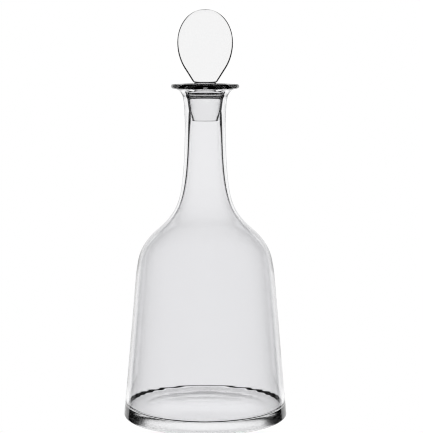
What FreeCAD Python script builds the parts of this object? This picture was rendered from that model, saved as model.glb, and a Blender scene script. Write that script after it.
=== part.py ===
import FreeCAD, Part
import math
import os

# Clear glass wine decanter with its glass stopper, in millimetres.
# Origin: centre of the underside, on the plane that it stands on.  +Z up.
# The stopper's flat paddle faces the front, -Y.

V = FreeCAD.Vector
AXIS = V(0, 0, 1)

# ---- vessel: outside ----
FOOT_EDGE_RADIUS = 64.8        # body cone carried down to the table
BODY_TAPER = 0.0894            # loss of radius per millimetre of height
BASE_CORNER = 1.8              # rounding between the body and the underside
KICK_RADIUS = 50.0             # edge of the shallow hollow under the base
KICK_DEPTH = 0.8
BODY_TOP = 112.0               # the straight cone ends and the shoulder starts
SHOULDER_AND_NECK = [          # (radius, height), from the cone up to the lip's underside
    (53.40, 122.0), (51.40, 130.0), (47.30, 138.0), (40.60, 146.0), (32.95, 153.0),
    (26.95, 160.0), (22.85, 167.0), (19.95, 176.0), (18.05, 188.0), (16.90, 202.0),
    (16.15, 218.0), (15.90, 232.0), (16.30, 242.0), (16.95, 250.0), (18.00, 254.0),
    (20.30, 257.2)]

# ---- vessel: lip and mouth ----
LIP_RADIUS = 26.6
LIP_TOP = 262.6
LIP_THICKNESS = 3.6
SEAT_TOP = (13.40, 254.3)      # ground seat of the stopper, (radius, height)
SEAT_BOTTOM = (11.60, 243.2)

# ---- vessel: cavity ----
FLOOR_HEIGHT = 8.6             # thick base
CAVITY_CORNER = 3.5
CAVITY_FOOT_RADIUS = 62.35     # cavity cone carried down to the table
CAVITY_TAPER = 0.0858
CAVITY_NECK_AND_SHOULDER = [   # (radius, height), from the seat down to the cone
    (11.45, 239.5), (11.62, 235.0), (12.10, 228.0), (12.75, 217.0), (13.62, 202.0),
    (15.08, 187.6), (17.50, 175.5), (21.12, 166.2), (25.70, 159.1), (32.03, 152.0),
    (39.72, 145.0), (46.22, 137.1), (49.93, 129.6), (51.63, 121.7)]

# ---- stopper ----
SEAT_CLEARANCE = 0.08          # radial, between the plug and the seat
PLUG_BOTTOM = 234.25
PLUG_CORNER = 0.6
PLUG_SHOULDER_HEIGHT = 257.6   # the plug's cone ends here, in the flared mouth
PLUG_SHOULDER_ROUND = 1.2
PLUG_SHOULDER_TURN = 75.0      # degrees above level, where the waist's hollow curve starts
WAIST_RADIUS = 8.5
WAIST_BOTTOM = 261.8
WAIST_TOP = 263.4
PADDLE_THICKNESS = 9.0
PADDLE_HALF_WIDTH = 21.8
PADDLE_WIDEST = 294.0          # height of the widest place
PADDLE_TOP = 320.0
PADDLE_CROWN_POWER = 2.2       # 2 would make the upper half an ellipse
PADDLE_SIDE_RADIUS = 37.0      # arc of the lower sides
PADDLE_SIDE_LEAN = 32.5        # degrees from upright, where the straight sides start
PADDLE_FOOT = 262.2            # buried in the waist
PADDLE_EDGE_ROUND = 2.0


def line(a, b):
    return Part.LineSegment(V(a[0], 0, a[1]), V(b[0], 0, b[1])).toShape()


def arc(a, middle, b):
    return Part.Arc(V(a[0], 0, a[1]), V(middle[0], 0, middle[1]), V(b[0], 0, b[1])).toShape()


def corner_arc(centre, radius, start, end):
    """Arc about centre between two angles in degrees, measured from +X towards +Z."""
    at = [(centre[0] + radius * math.cos(math.radians(turn)),
           centre[1] + radius * math.sin(math.radians(turn)))
          for turn in (start, (start + end) / 2, end)]
    return arc(*at), at[0], at[2]


def smooth(points, start_way, end_way):
    """Smooth curve through the points, leaving and arriving along the two given ways."""
    curve = Part.BSplineCurve()
    curve.interpolate(Points=[V(r, 0, z) for r, z in points],
                      InitialTangent=V(start_way[0], 0, start_way[1]),
                      FinalTangent=V(end_way[0], 0, end_way[1]))
    return curve.toShape()


def turned(edges):
    """Solid swept by a closed half outline once round the axis."""
    face = Part.Face(Part.Wire(edges))
    solid = face.revolve(V(0, 0, 0), AXIS, 360)
    return Part.Solid(solid.Shells[0]) if solid.ShapeType != "Solid" else solid


def outer_radius(height):
    return FOOT_EDGE_RADIUS - BODY_TAPER * height


def cavity_radius(height):
    return CAVITY_FOOT_RADIUS - CAVITY_TAPER * height


def vessel():
    lean = math.degrees(math.atan(BODY_TAPER))
    centre_r = outer_radius(BASE_CORNER) - BASE_CORNER / math.cos(math.radians(lean))
    corner, corner_low, corner_high = corner_arc((centre_r, BASE_CORNER), BASE_CORNER, -90, lean)

    cavity_lean = math.degrees(math.atan(CAVITY_TAPER))
    cavity_corner_z = FLOOR_HEIGHT + CAVITY_CORNER
    cavity_corner_r = cavity_radius(cavity_corner_z) - CAVITY_CORNER / math.cos(math.radians(cavity_lean))
    hollow, hollow_high, hollow_low = corner_arc(
        (cavity_corner_r, cavity_corner_z), CAVITY_CORNER, cavity_lean, -90)

    body_top = (outer_radius(BODY_TOP), BODY_TOP)
    cavity_top = (cavity_radius(BODY_TOP), BODY_TOP)
    edge = LIP_THICKNESS / 2
    lip_under = (LIP_RADIUS - edge, LIP_TOP - LIP_THICKNESS)
    lip_side = (LIP_RADIUS, LIP_TOP - edge)
    lip_over = (LIP_RADIUS - edge, LIP_TOP)
    flare_radius = (LIP_TOP - SEAT_TOP[1]) / (1 - math.sin(seat_angle()))
    flare_centre = (SEAT_TOP[0] + flare_radius * math.cos(seat_angle()), LIP_TOP - flare_radius)
    flare, flare_top, flare_foot = corner_arc(
        flare_centre, flare_radius, 90, 180 - math.degrees(seat_angle()))
    kick_top = (0, KICK_DEPTH)
    kick_edge = (KICK_RADIUS, 0)
    kick_middle = (KICK_RADIUS / 2, KICK_DEPTH * 0.75)

    return turned([
        arc(kick_top, kick_middle, kick_edge),
        line(kick_edge, corner_low),
        corner,
        line(corner_high, body_top),
        smooth([body_top] + SHOULDER_AND_NECK + [lip_under], (-BODY_TAPER, 1), (1, 0)),
        arc(lip_under, lip_side, lip_over),
        line(lip_over, flare_top),
        flare,
        line(flare_foot, SEAT_BOTTOM),
        smooth([SEAT_BOTTOM] + CAVITY_NECK_AND_SHOULDER + [cavity_top],
               (SEAT_BOTTOM[0] - SEAT_TOP[0], SEAT_BOTTOM[1] - SEAT_TOP[1]), (CAVITY_TAPER, -1)),
        line(cavity_top, hollow_high),
        hollow,
        line(hollow_low, (0, FLOOR_HEIGHT)),
        line((0, FLOOR_HEIGHT), kick_top)])


def seat_angle():
    """Lean of the ground seat from upright, in radians."""
    return math.atan((SEAT_TOP[0] - SEAT_BOTTOM[0]) / (SEAT_TOP[1] - SEAT_BOTTOM[1]))


def plug_radius(height):
    """The plug's cone is the seat's cone, a clearance smaller."""
    return SEAT_TOP[0] - SEAT_CLEARANCE + (height - SEAT_TOP[1]) * math.tan(seat_angle())


def plug():
    """Tapered plug, its shoulder and the round waist that carries the paddle."""
    lean = math.degrees(seat_angle())
    end_z = PLUG_BOTTOM + PLUG_CORNER
    end_r = plug_radius(end_z) - PLUG_CORNER / math.cos(seat_angle())
    end, end_low, end_high = corner_arc((end_r, end_z), PLUG_CORNER, -90, -lean)
    shoulder_r = plug_radius(PLUG_SHOULDER_HEIGHT) - PLUG_SHOULDER_ROUND / math.cos(seat_angle())
    shoulder, shoulder_low, shoulder_high = corner_arc(
        (shoulder_r, PLUG_SHOULDER_HEIGHT), PLUG_SHOULDER_ROUND, -lean, PLUG_SHOULDER_TURN)
    turn = math.radians(PLUG_SHOULDER_TURN)
    waist_low = (WAIST_RADIUS, WAIST_BOTTOM)
    rim, rim_low, rim_high = corner_arc(
        (WAIST_RADIUS - PLUG_CORNER, WAIST_TOP - PLUG_CORNER), PLUG_CORNER, 0, 90)
    return turned([
        line((0, PLUG_BOTTOM), end_low),
        end,
        line(end_high, shoulder_low),
        shoulder,
        smooth([shoulder_high, waist_low], (-math.sin(turn), math.cos(turn)), (0, 1)),
        line(waist_low, rim_low),
        rim,
        line(rim_high, (0, WAIST_TOP)),
        line((0, WAIST_TOP), (0, PLUG_BOTTOM))])


def crown_half_width(height):
    """Upper half of the paddle: |x/a|^p + |z/b|^p = 1 about the widest place."""
    up = (height - PADDLE_WIDEST) / (PADDLE_TOP - PADDLE_WIDEST)
    return PADDLE_HALF_WIDTH * (1 - up ** PADDLE_CROWN_POWER) ** (1 / PADDLE_CROWN_POWER)


def paddle():
    """Flat oval paddle: straight lower sides, side arcs, and a fuller crown, with a rounded edge."""
    lean = math.radians(PADDLE_SIDE_LEAN)
    side_centre = PADDLE_HALF_WIDTH - PADDLE_SIDE_RADIUS
    side_foot = (side_centre + PADDLE_SIDE_RADIUS * math.cos(lean),
                 PADDLE_WIDEST - PADDLE_SIDE_RADIUS * math.sin(lean))
    side_middle = (side_centre + PADDLE_SIDE_RADIUS * math.cos(lean / 2),
                   PADDLE_WIDEST - PADDLE_SIDE_RADIUS * math.sin(lean / 2))
    widest = (PADDLE_HALF_WIDTH, PADDLE_WIDEST)
    foot = (side_foot[0] - (side_foot[1] - PADDLE_FOOT) * math.tan(lean), PADDLE_FOOT)

    rise = PADDLE_TOP - PADDLE_WIDEST
    steps = [PADDLE_WIDEST + rise * part for part in (0.28, 0.52, 0.72, 0.87, 0.965)]
    right = [(crown_half_width(z), z) for z in steps]
    left = [(-r, z) for r, z in reversed(right)]

    def mirrored(point):
        return (-point[0], point[1])

    outline = Part.Wire([
        line(foot, side_foot),
        arc(side_foot, side_middle, widest),
        smooth([widest] + right + [(0, PADDLE_TOP)] + left + [mirrored(widest)], (0, 1), (0, -1)),
        arc(mirrored(widest), mirrored(side_middle), mirrored(side_foot)),
        line(mirrored(side_foot), mirrored(foot)),
        line(mirrored(foot), foot)])
    blank = Part.Face(outline).extrude(V(0, PADDLE_THICKNESS, 0))
    blank.translate(V(0, -PADDLE_THICKNESS / 2, 0))
    rims = [e for e in blank.Edges
            if abs(abs(e.CenterOfMass.y) - PADDLE_THICKNESS / 2) < 0.01 and e.BoundBox.ZMax > WAIST_TOP]
    return blank.makeFillet(PADDLE_EDGE_ROUND, rims)


def stopper():
    return plug().fuse(paddle()).removeSplitter()


os.makedirs("parts", exist_ok=True)
for name, shape in (("vessel", vessel()), ("stopper", stopper())):
    solid = shape.Solids[0]
    box = solid.BoundBox
    print(name, "solids", len(shape.Solids), "valid", solid.isValid(),
          "volume cm3 %.1f" % (solid.Volume / 1000),
          "box %.2f %.2f %.2f to %.2f %.2f %.2f" % (
              box.XMin, box.YMin, box.ZMin, box.XMax, box.YMax, box.ZMax))
    solid.exportStep("parts/%s.step" % name)
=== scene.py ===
"""Clear glass wine decanter with its glass stopper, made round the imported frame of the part."""
import math

import bpy
import numpy as np
from bpy.props import FloatProperty, FloatVectorProperty, IntProperty, PointerProperty
from bpy.types import Operator, Panel, PropertyGroup
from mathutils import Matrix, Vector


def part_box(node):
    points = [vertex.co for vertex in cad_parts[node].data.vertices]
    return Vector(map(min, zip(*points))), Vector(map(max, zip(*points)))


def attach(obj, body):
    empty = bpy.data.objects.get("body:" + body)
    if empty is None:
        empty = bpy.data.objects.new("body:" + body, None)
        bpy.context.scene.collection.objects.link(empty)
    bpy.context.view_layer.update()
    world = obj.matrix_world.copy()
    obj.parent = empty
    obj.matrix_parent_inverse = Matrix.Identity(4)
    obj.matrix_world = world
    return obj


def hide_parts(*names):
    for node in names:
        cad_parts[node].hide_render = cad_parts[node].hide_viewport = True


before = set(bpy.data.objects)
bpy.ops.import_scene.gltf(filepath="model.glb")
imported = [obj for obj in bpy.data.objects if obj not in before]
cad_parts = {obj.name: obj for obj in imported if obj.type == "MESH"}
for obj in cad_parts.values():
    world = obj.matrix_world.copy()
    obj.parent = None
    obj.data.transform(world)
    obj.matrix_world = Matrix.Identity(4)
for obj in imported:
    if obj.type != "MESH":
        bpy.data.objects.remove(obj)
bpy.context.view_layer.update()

bl_info = {
    "name": "Glass Decanter",
    "version": (1, 0, 0),
    "blender": (4, 5, 0),
    "location": "3D View > Sidebar > Decanter",
    "description": "Builds a glass wine decanter with its stopper, and a white stage",
    "category": "Add Mesh",
}

FLOOR_REACH = 8.0
BACKDROP_RADIUS = 6.0
# Reach of the backdrop sheet to each side, and its lowest and highest angle, in radians.
BACKDROP_ACROSS = 1.2
BACKDROP_UP = (-1.25, 0.6)
# Angles in degrees: where the plug's shoulder turns into the waist's curve, measured above level,
# and how far round a ring of the paddle each half of a round end reaches.
SHOULDER_TURN = 75.0
END_SWEEP = 62.0
LIP_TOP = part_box("vessel")[1][2]
PLUG_END, PADDLE_TOP = (corner[2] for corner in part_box("stopper"))

# Heights between which the tint, with its painted light and shade, changes, and between which
# the painted edge shade sets in, in metres.  It leaves out the vessel's base and covers the whole
# stopper.
VESSEL_TINT_AND_LIGHT_CHANGE = (0.13, 0.20)
VESSEL_PAINTED_SHADE_FROM = (0.016, 0.030)
STOPPER_TINT_AND_LIGHT_CHANGE = (0.258, 0.264)
STOPPER_PAINTED_SHADE_FROM = (0.20, 0.21)
# How far edge on the surface is where the painted edge shade sets in, and where it is full.
PAINTED_SHADE_FACING = (0.68, 0.80)
# Heights under which the glass is scratched dull, in metres.
VESSEL_WORN_BELOW = 0.0006
STOPPER_WORN_BELOW = 0.0002
# The slow waves of the vessel's wall begin above the table and end below the seat, and they
# shrink towards the axis.  Heights and radius in metres.
WAVE_TOP = 0.225
WAVE_TOP_FADE = 0.03
WAVE_FOOT = 0.004
WAVE_FOOT_FADE = 0.02
WAVE_FULL_RADIUS = 0.012
# The fine rings of the wall begin just over the cavity's corner and fade out upwards.
RINGS_FROM = 0.013
RINGS_FROM_FADE = 0.004
RINGS_TO = 0.046
RINGS_TO_FADE = 0.014

# Stations of the vessel's wall, (radius, height) in metres.
# Outside, from the top of the straight body up to the underside of the lip.
SHOULDER_AND_NECK = (
    (0.05340, 0.1220), (0.05140, 0.1300), (0.04730, 0.1380), (0.04060, 0.1460), (0.03295, 0.1530),
    (0.02695, 0.1600), (0.02285, 0.1670), (0.01995, 0.1760), (0.01805, 0.1880), (0.01690, 0.2020),
    (0.01615, 0.2180), (0.01590, 0.2320), (0.01630, 0.2420), (0.01695, 0.2500), (0.01800, 0.2540),
    (0.02030, 0.2572))
# Inside, from the foot of the stopper's seat down to the top of the straight cavity wall.
CAVITY_NECK_AND_SHOULDER = (
    (0.01145, 0.2395), (0.01162, 0.2350), (0.01210, 0.2280), (0.01275, 0.2170), (0.01362, 0.2020),
    (0.01508, 0.1876), (0.01750, 0.1755), (0.02112, 0.1662), (0.02570, 0.1591), (0.03203, 0.1520),
    (0.03972, 0.1450), (0.04622, 0.1371), (0.04993, 0.1296), (0.05163, 0.1217))


def length(name, default, description):
    """A length property in metres."""
    return FloatProperty(name=name, description=description, default=default, min=0.0,
                         unit="LENGTH", precision=5)


def slope(name, default, description):
    """A plain ratio property."""
    return FloatProperty(name=name, description=description, default=default, precision=4)


def tint(name, default, description):
    """A colour property."""
    return FloatVectorProperty(name=name, description=description, default=default, subtype="COLOR",
                               min=0.0, max=1.0)


def angle(name, degrees, description):
    """An angle property, given in degrees."""
    return FloatProperty(name=name, description=description, default=math.radians(degrees),
                         subtype="ANGLE")


class VesselSizes(PropertyGroup):
    """Sizes of the vessel, in metres."""
    body_taper: slope("Body taper", 0.0894, "Loss of outside radius per metre of height")
    foot_radius: length("Foot radius", 0.06479, "Radius of the body cone carried down to the table")
    base_corner: length("Base corner", 0.0018, "Rounding between the body and the underside")
    kick_radius: length("Kick radius", 0.050, "Radius of the shallow hollow under the base")
    kick_depth: length("Kick depth", 0.0008, "Depth of the hollow under the base")
    body_top: length("Body top", 0.112, "Height where the straight body ends")
    lip_radius: length("Lip radius", 0.0266, "Outside radius of the lip")
    lip_thickness: length("Lip thickness", 0.0036, "Thickness of the lip at its edge")
    seat_top: length("Seat top", 0.0134, "Radius of the ground seat at its upper end")
    seat_foot: length("Seat foot", 0.0116, "Radius of the ground seat at its lower end")
    mouth_depth: length("Mouth depth", 0.0083, "Depth of the top of the seat below the lip")
    seat_depth: length("Seat depth", 0.0194, "Depth of the foot of the seat below the lip")
    floor: length("Floor", 0.0086, "Thickness of the base")
    cavity_corner: length("Cavity corner", 0.0035, "Rounding between the cavity's wall and floor")
    cavity_foot: length("Cavity foot", 0.06235, "Radius of the cavity wall carried down to the table")
    cavity_taper: slope("Cavity taper", 0.0858, "Loss of cavity radius per metre of height")
    wave_depth: length("Wave depth", 0.00010, "Depth of the slow waves that blowing leaves in the wall")
    ring_depth: length("Ring depth", 0.000006, "Depth of the fine rings low on the wall")
    ring_pitch: length("Ring pitch", 0.0032, "Height from one fine ring to the next")
    columns: IntProperty(name="Columns", description="Faces round the vessel", default=288, min=24)


class StopperSizes(PropertyGroup):
    """Sizes of the stopper, in metres and radians."""
    clearance: length("Clearance", 0.00008, "Gap between the plug and its seat")
    corner: length("Corner", 0.0006, "Rounding of the plug's lower edge")
    shoulder_height: length("Shoulder height", 0.2576, "Height where the plug's cone ends")
    shoulder: length("Shoulder", 0.0012, "Rounding at the top of the plug's cone")
    waist_radius: length("Waist radius", 0.0085, "Radius of the round waist under the paddle")
    waist_foot: length("Waist foot", 0.2618, "Height where the waist becomes upright")
    waist_top: length("Waist top", 0.2634, "Height of the paddle's flat foot")
    foot_corner: length("Foot corner", 0.0013, "Height over which the paddle's foot rounds out")
    foot_depth: slope("Foot depth", 0.35, "Part of the paddle's thickness that is left at its foot")
    half_width: length("Half width", 0.0216, "Half of the paddle's width")
    thickness: length("Thickness", 0.0090, "Thickness of the paddle")
    widest: length("Widest", 0.294, "Height of the paddle's widest place")
    crown_power: slope("Crown power", 2.08, "Fullness of the crown, 2 makes it an ellipse")
    side_radius: length("Side radius", 0.037, "Radius of the paddle's lower sides")
    side_lean: angle("Side lean", 32.5, "Lean of the straight lower sides")
    columns: IntProperty(name="Columns", description="Faces round the stopper", default=256, min=24)


class GlassLook(PropertyGroup):
    """Colours and index of the glass; the tints hold painted light and shade."""
    # Tints: the glass's slight grey, made darker in the body as painted shade and lighter in the neck,
    # head and plug as painted light.
    body_tint_and_shade: tint("Body tint", (0.957, 0.957, 0.968), "Colour of light through the vessel's body")
    neck_tint_and_light: tint("Neck tint", (0.991, 0.991, 1.0), "Colour of light through the vessel's neck")
    head_tint_and_light: tint("Head tint", (0.983, 0.983, 0.985), "Colour of light through the stopper's paddle")
    plug_tint_and_light: tint("Plug tint", (1.0, 1.0, 1.0), "Colour of light through the stopper's plug")
    # Edge and rim tints are painted shade: colour that darkens the glass where it is seen edge on.
    edge_painted_shade: tint("Edge tint", (0.40, 0.40, 0.41), "Further colour where the vessel is seen edge on")
    rim_painted_shade: tint("Rim tint", (0.10, 0.10, 0.11), "Further colour where the stopper is seen edge on")
    bending: FloatProperty(name="Index", description="Index of refraction of the glass",
                           default=1.50, min=1.0, max=2.0)


class StageLook(PropertyGroup):
    """Light, backdrop and camera of the stage."""
    white: FloatProperty(name="White", description="Brightness of the floor and backdrop", default=1.0)
    gloom: FloatProperty(name="Gloom", description="Brightness of the rest of the room", default=0.02)
    opening: angle("Opening", 46.0, "Half of the angle that the backdrop fills from side to side")
    narrowing: slope("Narrowing", 0.5, "Loss of that half angle with the angle up or down")
    upper: angle("Upper edge", 26.0, "Upper edge of the backdrop, from straight ahead")
    lower: angle("Lower edge", -55.0, "Lower edge of the backdrop, from straight ahead")
    border: angle("Border", 3.0, "Half of the soft border above the backdrop")
    side_fade: angle("Side fade", 3.0, "Half of the soft border at the backdrop's sides")
    low_fade: angle("Low fade", 12.0, "Half of the soft border under the backdrop")
    lens: FloatProperty(name="Lens", description="Focal length in millimetres", default=116.8,
                        unit="CAMERA")
    distance: length("Distance", 1.0959, "Distance from the camera to the decanter's axis")
    eye_height: length("Eye height", 0.28953, "Height of the camera above the floor")
    tilt: angle("Tilt", 6.8, "Downward tilt of the camera")
    turn: angle("Turn", 0.257, "Turn of the camera to the right")


# ---- outlines ----

def straight(a, b, count):
    """Points from a towards b at even steps: a + t (b - a), without b."""
    t = np.linspace(0.0, 1.0, count, endpoint=False)[:, None]
    return np.asarray(a) + t * (np.asarray(b) - np.asarray(a))


def round_corner(centre, radius, start, end, count):
    """Points on a circle, centre + radius (cos t, sin t), t in degrees from start to end."""
    t = np.radians(np.linspace(start, end, count))
    return np.asarray(centre) + radius * np.stack([np.cos(t), np.sin(t)], axis=1)


def smooth_curve(stations, start_way, end_way, count):
    """Clamped cubic spline through the stations.

    The parameter is chord length.  The slopes at the stations solve the usual three-term system,
    in which the second derivative is the same on both sides of each station, and each span is the
    Hermite cubic of its two ends and their slopes.
    """
    p = np.asarray(stations, dtype=float)
    h = np.linalg.norm(np.diff(p, axis=0), axis=1)
    n = len(p)
    system = np.eye(n)
    inner = np.arange(1, n - 1)
    system[inner, inner - 1] = h[1:]
    system[inner, inner] = 2 * (h[:-1] + h[1:])
    system[inner, inner + 1] = h[:-1]
    chords = np.diff(p, axis=0) / h[:, None]
    known = np.zeros_like(p)
    known[1:-1] = 3 * (h[1:, None] * chords[:-1] + h[:-1, None] * chords[1:])
    known[0] = np.asarray(start_way) / np.linalg.norm(start_way)
    known[-1] = np.asarray(end_way) / np.linalg.norm(end_way)
    slopes = np.linalg.solve(system, known)
    knots = np.concatenate([[0.0], np.cumsum(h)])
    s = np.linspace(0.0, knots[-1], count)
    span = np.clip(np.searchsorted(knots, s, side="right") - 1, 0, n - 2)
    u = ((s - knots[span]) / h[span])[:, None]
    step = h[span][:, None]
    return ((2 * u**3 - 3 * u**2 + 1) * p[span] + (u**3 - 2 * u**2 + u) * step * slopes[span]
            + (3 * u**2 - 2 * u**3) * p[span + 1] + (u**3 - u**2) * step * slopes[span + 1])


def joined(*stretches):
    """One outline out of stretches, with a point that repeats the one before it left out."""
    points = np.concatenate(stretches)
    gap = np.linalg.norm(np.diff(points, axis=0), axis=1)
    return points[np.concatenate([[True], gap > 1e-7])]


# ---- meshes ----

def closed_surface(name, grid, start_pole, end_pole):
    """Mesh of a grid of rings that closes on itself round each ring and ends in two poles.

    Point (i, j) of the grid joins (i, j+1) and (i+1, j); the column after the last is the first
    again, and the first and last rings are fanned to their poles.
    """
    rows, columns, _ = grid.shape
    points = np.concatenate([grid.reshape(-1, 3), [start_pole, end_pole]])
    i, j = np.meshgrid(np.arange(rows - 1), np.arange(columns), indexing="ij")
    k = (j + 1) % columns
    quads = np.stack([i * columns + j, i * columns + k, (i + 1) * columns + k, (i + 1) * columns + j],
                     axis=-1).reshape(-1, 4)
    around = np.arange(columns)
    after = (around + 1) % columns
    last = (rows - 1) * columns
    low_fan = np.stack([np.full(columns, rows * columns), after, around], axis=1)
    high_fan = np.stack([np.full(columns, rows * columns + 1), last + around, last + after], axis=1)
    mesh = bpy.data.meshes.new(name)
    mesh.from_pydata(points.tolist(), [], quads.tolist() + low_fan.tolist() + high_fan.tolist())
    mesh.validate()
    mesh.shade_smooth()
    mesh.update()
    piece = bpy.data.objects.new(name, mesh)
    bpy.context.scene.collection.objects.link(piece)
    return piece


def seat_angle(size):
    """Lean of the seat's cone from upright: the arctangent of its loss of radius over its height."""
    return math.atan((size.seat_top - size.seat_foot) / (size.seat_depth - size.mouth_depth))


def vessel_outline(size):
    """Half outline of the vessel, from the middle of the underside over the lip to the cavity's floor."""
    lean = math.degrees(math.atan(size.body_taper))
    corner_r = (size.foot_radius - size.body_taper * size.base_corner
                - size.base_corner / math.cos(math.radians(lean)))
    body_top = (size.foot_radius - size.body_taper * size.body_top, size.body_top)
    cavity_lean = math.degrees(math.atan(size.cavity_taper))
    hollow_z = size.floor + size.cavity_corner
    hollow_r = (size.cavity_foot - size.cavity_taper * hollow_z
                - size.cavity_corner / math.cos(math.radians(cavity_lean)))
    cavity_top = (size.cavity_foot - size.cavity_taper * size.body_top, size.body_top)

    edge = size.lip_thickness / 2
    edge_centre = (size.lip_radius - edge, LIP_TOP - edge)
    lip_under = (edge_centre[0], LIP_TOP - size.lip_thickness)
    seat_top = (size.seat_top, LIP_TOP - size.mouth_depth)
    seat_foot = (size.seat_foot, LIP_TOP - size.seat_depth)
    seat_lean = seat_angle(size)
    flare_radius = size.mouth_depth / (1 - math.sin(seat_lean))
    flare_centre = (size.seat_top + flare_radius * math.cos(seat_lean), LIP_TOP - flare_radius)
    seat_way = (seat_foot[0] - seat_top[0], seat_foot[1] - seat_top[1])

    kick = np.linspace(0.0, 1.0, 26)[1:]
    underside = np.stack([kick * size.kick_radius, size.kick_depth * (1 - kick**2)], axis=1)
    corner = round_corner((corner_r, size.base_corner), size.base_corner, -90, lean, 16)
    shoulder = smooth_curve((body_top,) + SHOULDER_AND_NECK + (lip_under,), (-size.body_taper, 1),
                            (1, 0), 96)
    rim = round_corner(edge_centre, edge, -90, 90, 16)
    flare = round_corner(flare_centre, flare_radius, 90, 180 - math.degrees(seat_lean), 24)
    cavity = smooth_curve((seat_foot,) + CAVITY_NECK_AND_SHOULDER + (cavity_top,), seat_way,
                          (size.cavity_taper, -1), 78)
    hollow = round_corner((hollow_r, hollow_z), size.cavity_corner, cavity_lean, -90, 20)
    return joined(underside, straight(underside[-1], corner[0], 8), corner,
                  straight(corner[-1], body_top, 26), shoulder, rim, straight(rim[-1], flare[0], 4),
                  flare, straight(seat_top, seat_foot, 8), cavity, straight(cavity_top, hollow[0], 160),
                  hollow, straight(hollow[-1], (0.0, size.floor), 20)[:-1])


def vessel_grid(size):
    """The outline turned about the axis, (r cos a, r sin a, z), with slow waves and fine rings.

    The waves are sums of sines of the angle and the height, and die out at the lip, seat, foot
    and axis.  The rings are one sine of the height.  Both only ever take the radius inwards.
    """
    outline = vessel_outline(size)
    r = outline[:, :1]
    z = outline[:, 1:]
    a = np.linspace(0.0, 2 * np.pi, size.columns, endpoint=False)[None, :]
    high = np.clip((WAVE_TOP - z) / WAVE_TOP_FADE, 0.0, 1.0)
    low = np.clip((z - WAVE_FOOT) / WAVE_FOOT_FADE, 0.0, 1.0)
    wave = (np.sin(2 * a + 31 * z + 0.7) + 0.6 * np.sin(3 * a - 47 * z + 2.1)
            + 0.4 * np.sin(5 * a + 83 * z + 4.0)) / 2.0
    r = r - size.wave_depth * (1 + wave) * high * low * np.clip(r / WAVE_FULL_RADIUS, 0.0, 1.0)
    ringed = (np.clip((z - RINGS_FROM) / RINGS_FROM_FADE, 0.0, 1.0)
              * np.clip((RINGS_TO - z) / RINGS_TO_FADE, 0.0, 1.0))
    r = r - size.ring_depth * (1 + np.sin(2 * np.pi * z / size.ring_pitch)) * ringed
    return np.stack([r * np.cos(a), r * np.sin(a), np.broadcast_to(z, r.shape)], axis=-1)


def crown_rows(size, count):
    """Half width and height over the crown, on |x/a|^p + |z/b|^p = 1 about the widest place."""
    t = np.linspace(0.0, np.pi / 2, count + 1)[:-1]
    rise = PADDLE_TOP - size.widest
    return (size.half_width * np.cos(t) ** (2 / size.crown_power),
            size.widest + rise * np.sin(t) ** (2 / size.crown_power))


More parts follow.
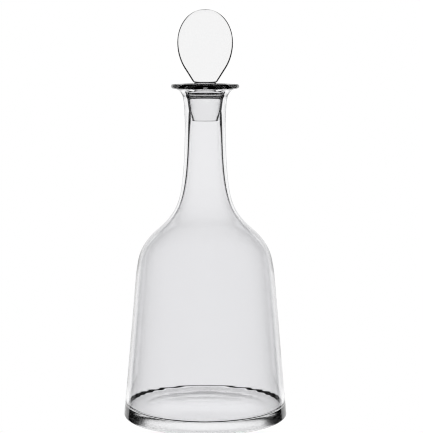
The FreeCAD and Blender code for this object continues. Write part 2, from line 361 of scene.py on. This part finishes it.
def stopper_grid(size):
    """Rings up the stopper, from the plug's end to the top of the paddle.

    Up to the waist's top a ring is a circle.  Above, it is a slab: two round ends, each half an
    ellipse, with a flat stretch between them.  The edge of the paddle is a half circle seen square
    to the outline, so an end is longer where the outline leans, and near the top the slab thins
    as the same half circle.  The paddle's foot is flat, with rings that go evenly from circle to
    slab, and its corner is a quarter ellipse: over the corner's height the width and the depth
    grow by one times the root of 1 - t^2, with t falling from 1 to 0.
    """
    vessel = bpy.context.scene.decanter_vessel
    seat_lean = seat_angle(vessel)
    lean = math.degrees(seat_lean)
    seat_top_z = LIP_TOP - vessel.mouth_depth

    def cone_radius(height):
        return vessel.seat_top - size.clearance + (height - seat_top_z) * math.tan(seat_lean)

    end_z = PLUG_END + size.corner
    end_r = cone_radius(end_z) - size.corner / math.cos(math.radians(lean))
    corner = round_corner((end_r, end_z), size.corner, -90, -lean, 10)
    floor = straight((0.0, PLUG_END), corner[0], 14)[1:]
    shoulder_r = cone_radius(size.shoulder_height) - size.shoulder / math.cos(math.radians(lean))
    shoulder = round_corner((shoulder_r, size.shoulder_height), size.shoulder, -lean, SHOULDER_TURN, 14)
    leaving = (-math.sin(math.radians(SHOULDER_TURN)), math.cos(math.radians(SHOULDER_TURN)))
    waist = smooth_curve((shoulder[-1], (size.waist_radius, size.waist_foot)), leaving, (0, 1), 26)
    turned = joined(floor, corner, straight(corner[-1], shoulder[0], 40), shoulder, waist,
                    straight(waist[-1], (size.waist_radius, size.waist_top), 10))

    side_centre = size.half_width - size.side_radius
    side_foot_z = size.widest - size.side_radius * math.sin(size.side_lean)
    side_foot_x = side_centre + size.side_radius * math.cos(size.side_lean)
    foot_x = side_foot_x - (side_foot_z - size.waist_top) * math.tan(size.side_lean)
    ease = 1 - np.cos(np.linspace(0.0, np.pi / 2, 48, endpoint=False))
    sides_z = size.waist_top + (side_foot_z - size.waist_top) * ease
    sides_x = foot_x + (sides_z - size.waist_top) * math.tan(size.side_lean)
    turn = np.linspace(size.side_lean, 0.0, 40, endpoint=False)
    arc_x = side_centre + size.side_radius * np.cos(turn)
    arc_z = size.widest - size.side_radius * np.sin(turn)
    crown_x, crown_z = crown_rows(size, 150)
    width = np.concatenate([sides_x, arc_x, crown_x])
    height = np.concatenate([sides_z, arc_z, crown_z])

    columns = size.columns
    a = (np.arange(columns) + 0.5) / columns * 2 * np.pi
    half = size.thickness / 2
    leaning = np.abs(np.gradient(width, height))
    end = np.minimum(width, half * np.sqrt(1 + leaning**2))
    below = np.clip(1 - (height - size.waist_top) / size.foot_corner, 0.0, 1.0)
    rounding = np.sqrt(1 - below**2)
    width = width - size.foot_corner * (1 - rounding)
    under_top = np.clip(PADDLE_TOP - height, 0.0, half)
    depth = np.sqrt(half**2 - (half - under_top)**2) * (1 - (1 - size.foot_depth) * (1 - rounding))
    flat_from = np.radians(END_SWEEP)
    reach = np.clip(np.cos(a) / np.cos(flat_from), -1.0, 1.0)
    folded = np.arcsin(np.abs(np.sin(a)))
    cap = np.clip(folded / flat_from, 0.0, 1.0) * np.pi / 2
    cap_cos = np.cos(cap) * np.sign(np.cos(a))
    cap_sin = np.sin(cap) * np.sign(np.sin(a))
    slab_x = (width - end)[:, None] * reach + end[:, None] * cap_cos
    slab_y = depth[:, None] * cap_sin

    spread = np.linspace(0.0, 1.0, 8)[1:-1, None]
    foot = np.stack([size.waist_radius * np.cos(a) * (1 - spread) + slab_x[0] * spread,
                     size.waist_radius * np.sin(a) * (1 - spread) + slab_y[0] * spread,
                     np.full((len(spread), columns), size.waist_top)], axis=-1)
    lower = np.stack([turned[:, :1] * np.cos(a), turned[:, :1] * np.sin(a),
                      np.broadcast_to(turned[:, 1:], (len(turned), columns))], axis=-1)
    upper = np.stack([slab_x, slab_y, np.broadcast_to(height[:, None], slab_x.shape)], axis=-1)
    return np.concatenate([lower, foot, upper])


# ---- materials ----

def node(tree, kind, place, **values):
    """Adds a node at a place in the editor and sets its inputs by name."""
    made = tree.nodes.new(kind)
    made.location = place
    for name, value in values.items():
        made.inputs[name.replace("_", " ")].default_value = value
    return made


def maths(tree, operation, first, second=None, third=None, clamp=False):
    """A Math node on sockets or numbers, returning its output."""
    made = tree.nodes.new("ShaderNodeMath")
    made.operation = operation
    made.use_clamp = clamp
    for index, value in enumerate((first, second, third)):
        if value is None:
            continue
        if isinstance(value, (int, float)):
            made.inputs[index].default_value = value
        else:
            tree.links.new(value, made.inputs[index])
    return made.outputs[0]


def mixed(tree, factor, first, second, way="MIX"):
    """A Mix node on two colours, each a socket or a colour, returning its output."""
    made = tree.nodes.new("ShaderNodeMix")
    made.data_type = "RGBA"
    made.blend_type = way
    for name, value in (("Factor", factor), ("A", first), ("B", second)):
        place = next(socket for socket in made.inputs
                     if socket.name == name and (name == "Factor") == (socket.type == "VALUE")
                     and socket.enabled)
        if hasattr(value, "links"):
            tree.links.new(value, place)
        else:
            place.default_value = value if name == "Factor" else (*value, 1.0)
    return next(socket for socket in made.outputs if socket.enabled)


def stepped(tree, value, start, end):
    """A smooth step of a socket, from 0 at start to 1 at end."""
    made = tree.nodes.new("ShaderNodeMapRange")
    made.interpolation_type = "SMOOTHSTEP"
    made.inputs["From Min"].default_value = start
    made.inputs["From Max"].default_value = end
    tree.links.new(value, made.inputs["Value"])
    return made.outputs["Result"]


def clear_glass(name, low_tint_and_light, high_tint_and_light, change, edge_painted_shade, painted_shade_from, bending, worn_below):
    """Clear glass: a tint with painted light and shade that changes with height, slow ripples, and fine
    wear low on the foot.

    The tint, the glass's grey with painted light and shade by zone, steps smoothly from low to high
    between the two heights of change, and clouds by half a hundredth with noise.  Above a second pair
    of heights it darkens where the surface is seen edge on, as painted shade.  The polish is perfect
    but for the ring that touches the table, which is scratched dull.
    """
    material = bpy.data.materials.new(name)
    material.use_nodes = True
    tree = material.node_tree
    links = tree.links
    shader = tree.nodes["Principled BSDF"]
    shader.inputs["Transmission Weight"].default_value = 1.0
    shader.inputs["IOR"].default_value = bending
    place = node(tree, "ShaderNodeTexCoord", (-1100, 0)).outputs["Object"]
    height = node(tree, "ShaderNodeSeparateXYZ", (-800, -100))
    links.new(place, height.inputs["Vector"])

    cloud = node(tree, "ShaderNodeTexNoise", (-800, 300), Scale=18.0, Detail=2.0, Roughness=0.4)
    links.new(place, cloud.inputs["Vector"])
    # The tint by height is partly the glass's grey and partly painted light and shade: lighter in the
    # neck and plug, darker in the body.
    base = mixed(tree, stepped(tree, height.outputs["Z"], *change), low_tint_and_light, high_tint_and_light)
    clouded = mixed(tree, cloud.outputs["Fac"], (0.995, 0.995, 0.995), (1.0, 1.0, 1.0))
    base = mixed(tree, 1.0, base, clouded, "MULTIPLY")
    # Painted shade: the colour darkens where the surface is seen edge on, from the Layer Weight facing.
    facing = node(tree, "ShaderNodeLayerWeight", (-800, 600), Blend=0.5).outputs["Facing"]
    painted_shade_mask = maths(tree, "MULTIPLY", stepped(tree, facing, *PAINTED_SHADE_FACING),
                    stepped(tree, height.outputs["Z"], *painted_shade_from))
    edge = mixed(tree, painted_shade_mask, (1.0, 1.0, 1.0), edge_painted_shade)
    links.new(mixed(tree, 1.0, base, edge, "MULTIPLY"), shader.inputs["Base Color"])

    scratches = node(tree, "ShaderNodeTexNoise", (-800, -300), Scale=900.0, Detail=4.0, Roughness=0.7)
    links.new(place, scratches.inputs["Vector"])
    low = maths(tree, "SUBTRACT", 1.0, maths(tree, "DIVIDE", height.outputs["Z"], worn_below, clamp=True))
    worn = maths(tree, "MULTIPLY", low, scratches.outputs["Fac"])
    links.new(maths(tree, "MULTIPLY", worn, 0.35), shader.inputs["Roughness"])

    ripple = node(tree, "ShaderNodeTexNoise", (-800, -600), Scale=32.0, Detail=1.0, Roughness=0.3)
    links.new(place, ripple.inputs["Vector"])
    bump = node(tree, "ShaderNodeBump", (-300, -500), Strength=0.10, Distance=0.0004)
    links.new(ripple.outputs["Fac"], bump.inputs["Height"])
    links.new(bump.outputs["Normal"], shader.inputs["Normal"])
    return material


def glow(name, strength):
    """Even white light, for the floor."""
    material = bpy.data.materials.new(name)
    material.use_nodes = True
    tree = material.node_tree
    tree.nodes.clear()
    light = node(tree, "ShaderNodeEmission", (0, 0), Color=(1.0, 1.0, 1.0, 1.0), Strength=strength)
    out = node(tree, "ShaderNodeOutputMaterial", (200, 0))
    tree.links.new(light.outputs["Emission"], out.inputs["Surface"])
    return material


def backdrop_light(look):
    """White light of the backdrop, which fades to dark over a soft border.

    The angles are taken at the decanter, in the backdrop's own coordinates: across from straight
    ahead, and up from straight ahead.  The sides draw in with the angle up or down.  Brightness is
    white times one smooth step for each border.
    """
    material = bpy.data.materials.new("backdrop_white")
    material.use_nodes = True
    tree = material.node_tree
    tree.nodes.clear()
    links = tree.links
    split = node(tree, "ShaderNodeSeparateXYZ", (-1200, 0))
    links.new(node(tree, "ShaderNodeTexCoord", (-1400, 0)).outputs["Object"], split.inputs["Vector"])
    x, y, z = split.outputs
    ahead = maths(tree, "SUBTRACT", maths(tree, "MULTIPLY", z, -1.0), look.distance)
    flat = maths(tree, "SQRT", maths(tree, "ADD", maths(tree, "MULTIPLY", x, x),
                                     maths(tree, "MULTIPLY", ahead, ahead)))
    up = maths(tree, "ARCTAN2", y, flat)
    across = maths(tree, "MULTIPLY_ADD", maths(tree, "ABSOLUTE", up), look.narrowing,
                   maths(tree, "ARCTAN2", maths(tree, "ABSOLUTE", x), ahead))
    level = look.white
    for value, start, end in ((across, look.opening + look.side_fade, look.opening - look.side_fade),
                              (up, look.upper + look.border, look.upper - look.border),
                              (up, look.lower - look.low_fade, look.lower + look.low_fade)):
        level = maths(tree, "MULTIPLY", stepped(tree, value, start, end), level)
    light = node(tree, "ShaderNodeEmission", (0, 0), Color=(1.0, 1.0, 1.0, 1.0))
    links.new(level, light.inputs["Strength"])
    out = node(tree, "ShaderNodeOutputMaterial", (200, 0))
    links.new(light.outputs["Emission"], out.inputs["Surface"])
    return material


def studio_room(look):
    """The room: seen as white, and dim as a source of light and reflections."""
    world = bpy.data.worlds.new("studio")
    bpy.context.scene.world = world
    world.use_nodes = True
    tree = world.node_tree
    tree.nodes.clear()
    seen = node(tree, "ShaderNodeLightPath", (-400, 300)).outputs["Is Camera Ray"]
    level = maths(tree, "MULTIPLY_ADD", seen, look.white - look.gloom, look.gloom)
    light = node(tree, "ShaderNodeBackground", (200, 0), Color=(1.0, 1.0, 1.0, 1.0))
    tree.links.new(level, light.inputs["Strength"])
    out = node(tree, "ShaderNodeOutputWorld", (400, 0))
    tree.links.new(light.outputs["Background"], out.inputs["Surface"])


def sheet(name, x, y, z, material):
    """A plain stage surface from three arrays of coordinates on a grid."""
    rows, columns = x.shape
    i, j = np.meshgrid(np.arange(rows - 1), np.arange(columns - 1), indexing="ij")
    corner = i * columns + j
    quads = np.stack([corner, corner + 1, corner + columns + 1, corner + columns], axis=-1).reshape(-1, 4)
    mesh = bpy.data.meshes.new(name)
    mesh.from_pydata(np.stack([x, y, z], axis=-1).reshape(-1, 3).tolist(), [], quads.tolist())
    mesh.materials.append(material)
    made = bpy.data.objects.new(name, mesh)
    bpy.context.scene.collection.objects.link(made)
    return made


# ---- operators ----

class DECANTER_OT_vessel(Operator):
    """Build the blown glass vessel as one closed wall"""
    bl_idname = "decanter.vessel"
    bl_label = "Build Vessel"

    def execute(self, context):
        scene = context.scene
        size = scene.decanter_vessel
        look = scene.decanter_glass
        grid = vessel_grid(size)
        piece = closed_surface("glass_vessel", grid, (0.0, 0.0, size.kick_depth), (0.0, 0.0, size.floor))
        # The vessel's glass carries painted shade in its darker body tint and its edge darkening, and
        # painted light in its neck.
        piece.data.materials.append(clear_glass(
            "vessel_glass", look.body_tint_and_shade, look.neck_tint_and_light, VESSEL_TINT_AND_LIGHT_CHANGE,
            look.edge_painted_shade, VESSEL_PAINTED_SHADE_FROM, look.bending, VESSEL_WORN_BELOW))
        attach(piece, "decanter")
        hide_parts("vessel")
        return {"FINISHED"}


class DECANTER_OT_stopper(Operator):
    """Build the solid glass stopper, plug, waist and paddle in one"""
    bl_idname = "decanter.stopper"
    bl_label = "Build Stopper"

    def execute(self, context):
        scene = context.scene
        size = scene.decanter_stopper
        look = scene.decanter_glass
        grid = stopper_grid(size)
        piece = closed_surface("glass_stopper", grid, (0.0, 0.0, PLUG_END), (0.0, 0.0, PADDLE_TOP))
        # The stopper's glass carries painted light in its clear plug and painted shade in its dark rim
        # where seen edge on.
        piece.data.materials.append(clear_glass(
            "stopper_glass", look.plug_tint_and_light, look.head_tint_and_light, STOPPER_TINT_AND_LIGHT_CHANGE,
            look.rim_painted_shade, STOPPER_PAINTED_SHADE_FROM, look.bending, STOPPER_WORN_BELOW))
        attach(piece, "stopper")
        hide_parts("stopper")
        return {"FINISHED"}


class DECANTER_OT_stage(Operator):
    """Lay the white floor, light the set and place the camera"""
    bl_idname = "decanter.stage"
    bl_label = "Set Stage"

    def execute(self, context):
        scene = context.scene
        look = scene.decanter_stage
        reach = np.linspace(-FLOOR_REACH, FLOOR_REACH, 2)
        floor_x, floor_y = np.meshgrid(reach, reach)
        floor = sheet("floor", floor_x, floor_y, np.zeros_like(floor_x), glow("white_floor", look.white))
        floor.visible_transmission = False
        floor.visible_glossy = False
        studio_room(look)

        lens = bpy.data.cameras.new("camera")
        lens.lens = look.lens
        lens.sensor_width = 36.0
        lens.clip_start = 0.01
        camera = bpy.data.objects.new("camera", lens)
        camera.location = (0.0, -look.distance, look.eye_height)
        camera.rotation_euler = (math.pi / 2 - look.tilt, 0.0, -look.turn)
        scene.collection.objects.link(camera)
        scene.camera = camera

        across, up = np.meshgrid(np.linspace(-BACKDROP_ACROSS, BACKDROP_ACROSS, 49),
                                 np.linspace(*BACKDROP_UP, 37))
        backdrop = sheet("backdrop", BACKDROP_RADIUS * np.sin(across) * np.cos(up),
                         BACKDROP_RADIUS * np.sin(up),
                         -look.distance - BACKDROP_RADIUS * np.cos(across) * np.cos(up),
                         backdrop_light(look))
        backdrop.parent = camera
        backdrop.visible_camera = False
        backdrop.visible_diffuse = False

        scene.view_settings.view_transform = "Standard"
        scene.cycles.max_bounces = 32
        scene.cycles.transmission_bounces = 32
        scene.cycles.glossy_bounces = 16
        scene.cycles.use_denoising = True
        scene.cycles.filter_width = 1.1
        return {"FINISHED"}


class DECANTER_PT_panel(Panel):
    """Sizes and colours of the decanter, and the buttons that build it"""
    bl_idname = "DECANTER_PT_panel"
    bl_label = "Glass Decanter"
    bl_space_type = "VIEW_3D"
    bl_region_type = "UI"
    bl_category = "Decanter"

    def draw(self, context):
        for group, operator in PANEL_ROWS:
            box = self.layout.box()
            settings = getattr(context.scene, group)
            for name in settings.__annotations__:
                box.prop(settings, name)
            if operator:
                box.operator(operator)


PANEL_ROWS = (
    ("decanter_glass", None),
    ("decanter_vessel", "decanter.vessel"),
    ("decanter_stopper", "decanter.stopper"),
    ("decanter_stage", "decanter.stage"),
)
GROUPS = {
    "decanter_glass": GlassLook,
    "decanter_vessel": VesselSizes,
    "decanter_stopper": StopperSizes,
    "decanter_stage": StageLook,
}
OPERATORS_AND_PANEL = (DECANTER_OT_vessel, DECANTER_OT_stopper, DECANTER_OT_stage, DECANTER_PT_panel)


def register():
    for name, group in GROUPS.items():
        bpy.utils.register_class(group)
        setattr(bpy.types.Scene, name, PointerProperty(type=group))
    for item in OPERATORS_AND_PANEL:
        bpy.utils.register_class(item)


def unregister():
    for item in reversed(OPERATORS_AND_PANEL):
        bpy.utils.unregister_class(item)
    for name, group in reversed(GROUPS.items()):
        delattr(bpy.types.Scene, name)
        bpy.utils.unregister_class(group)


def main():
    register()
    bpy.ops.decanter.vessel()
    bpy.ops.decanter.stopper()
    bpy.ops.decanter.stage()


if __name__ == "__main__":
    main()
